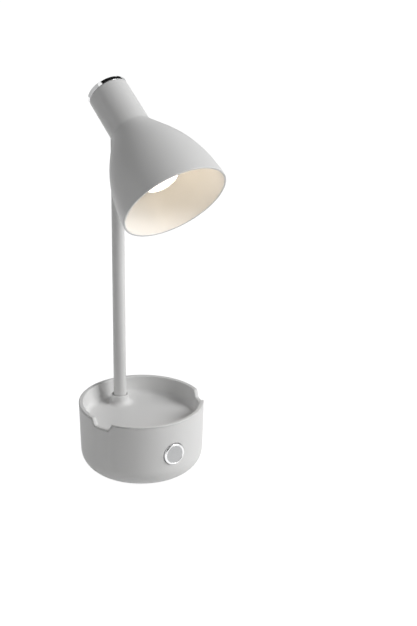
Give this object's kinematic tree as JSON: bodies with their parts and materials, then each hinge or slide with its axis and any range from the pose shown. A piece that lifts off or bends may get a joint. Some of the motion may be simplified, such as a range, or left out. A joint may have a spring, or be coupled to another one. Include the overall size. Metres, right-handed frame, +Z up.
{
  "type": "desk lamp",
  "caption": "Desk lamp with a round tray base, a thin stem and a tilting bell shade with a built-in light, switched by a push button.",
  "frame": {"origin": "centre of the foot pad's underside, on the desk", "axes": "+Z up; the button faces -Y, the stem stands at +Y, and the shade tilts about X"},
  "size_m": [0.12, 0.1603, 0.3839],
  "materials": {
    "white_shell": "matte moulded white",
    "white_tray": "matte moulded white",
    "white_tube": "satin white powder coat",
    "white_pot": "matte white",
    "chrome": "polished chrome plate",
    "pad_rubber": "soft grey sheet",
    "dark_cover": "matte moulded grey",
    "ballast_iron": "blackened cast plate",
    "zinc_steel": "bright zinc plate",
    "hinge_alloy": "as-cast zinc alloy, tumbled",
    "grey_nylon": "natural moulded nylon",
    "washer_fibre": "pressed fibre",
    "black_plastic": "moulded black",
    "contact_brass": "nickel-plated brass",
    "board_green": "solder mask over glass laminate",
    "board_white": "white solder mask on aluminium",
    "ferrite": "sintered ferrite",
    "can_sleeve": "shrink sleeve",
    "chip_phosphor": "yellow phosphor window",
    "sink_alloy": "extruded, bare",
    "opal": "opal diffusing acrylic",
    "lead_sheath": "insulated wire"
  },
  "bodies": {
    "base": {"base_shell": "white_shell", "tray": "white_tray", "bottom_cover": "dark_cover", "foot_pad": "pad_rubber", "cover_screws": "zinc_steel", "ballast_plate": "ballast_iron", "button_spring": "zinc_steel", "button_retainer": "grey_nylon", "retainer_screws": "zinc_steel", "button_switch": "black_plastic", "jack_body": "black_plastic", "jack_contact": "contact_brass", "jack_nut": "zinc_steel", "driver_board": "board_green", "board_screws": "zinc_steel", "inductor": "ferrite", "capacitors": "can_sleeve", "driver_chip": "black_plastic", "base_leads": "lead_sheath", "stem_tube": "white_tube", "stem_nipple": "zinc_steel", "stem_washer": "zinc_steel", "stem_nut": "zinc_steel", "stem_lead": "lead_sheath", "hinge_knuckle": "hinge_alloy", "hinge_lead": "lead_sheath"},
    "shade": {"shade_shell": "white_shell", "end_cap": "chrome", "hinge_carrier": "grey_nylon", "carrier_screws": "zinc_steel", "hinge_bolt": "zinc_steel", "spring_washer": "zinc_steel", "hinge_nut": "zinc_steel", "friction_washers": "washer_fibre", "led_housing": "white_pot", "housing_screws": "zinc_steel", "heat_sink": "sink_alloy", "led_board": "board_white", "led_chips": "chip_phosphor", "led_screws": "zinc_steel", "diffuser": "opal", "head_lead": "lead_sheath"},
    "button": {"button_cap": "chrome", "button_carrier": "grey_nylon"}
  },
  "joints": [
    {"name": "shade_tilt", "type": "hinge", "parent": "base", "child": "shade", "pos_m": [0, 0.0391, 0.3563], "axis": [1, 0, 0], "range_deg": [-30, 12], "deforming": ["hinge_lead"]},
    {"name": "button_press", "type": "slide", "parent": "base", "child": "button", "axis": [0, 1, 0], "range_m": [0, 0.0015], "stiffness_N_per_m": 1500, "springref_m": -0.001, "deforming": ["button_spring"]}
  ]
}
